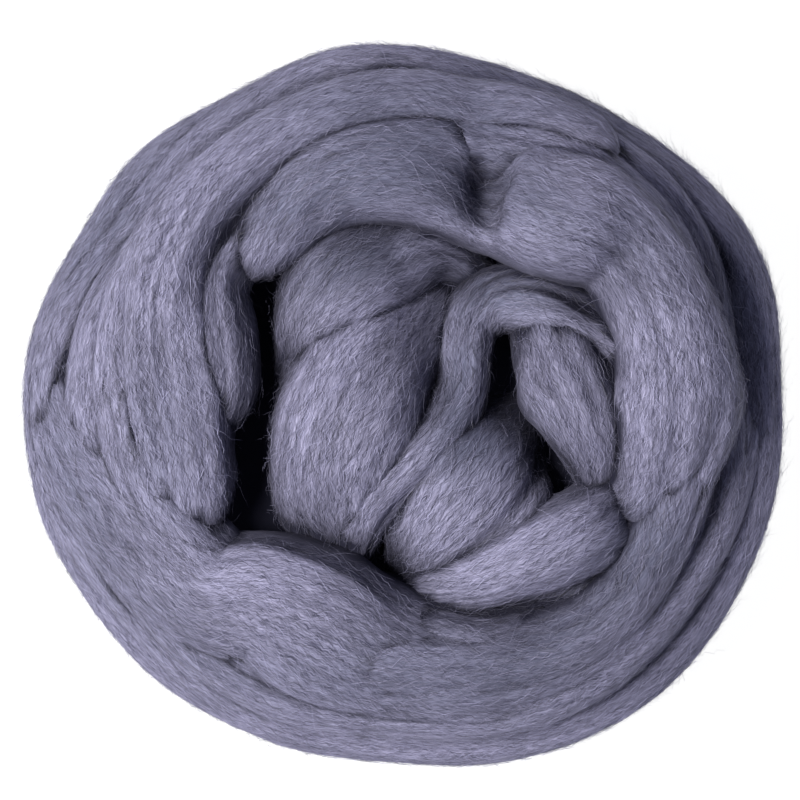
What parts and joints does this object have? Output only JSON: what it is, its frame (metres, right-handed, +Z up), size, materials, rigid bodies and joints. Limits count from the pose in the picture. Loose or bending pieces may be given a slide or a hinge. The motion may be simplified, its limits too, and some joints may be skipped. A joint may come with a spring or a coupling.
{
  "type": "wool roving",
  "caption": "Flattened ball of combed wool roving, wound from a long soft rope of fibre, with broad loose ribbons folded over its top.",
  "frame": {"origin": "middle of the flat spot on which the nest lies", "axes": "+Z up, out of the folded top; +X to the right and +Y to the back as the nest is seen from above"},
  "size_m": [0.2216, 0.2067, 0.1002],
  "materials": {
    "combed_wool": "soft, fibrous, matt with a faint sheen along the combed fibres"
  },
  "bodies": {
    "root": {"roving_nest": "combed_wool"}
  },
  "joints": []
}
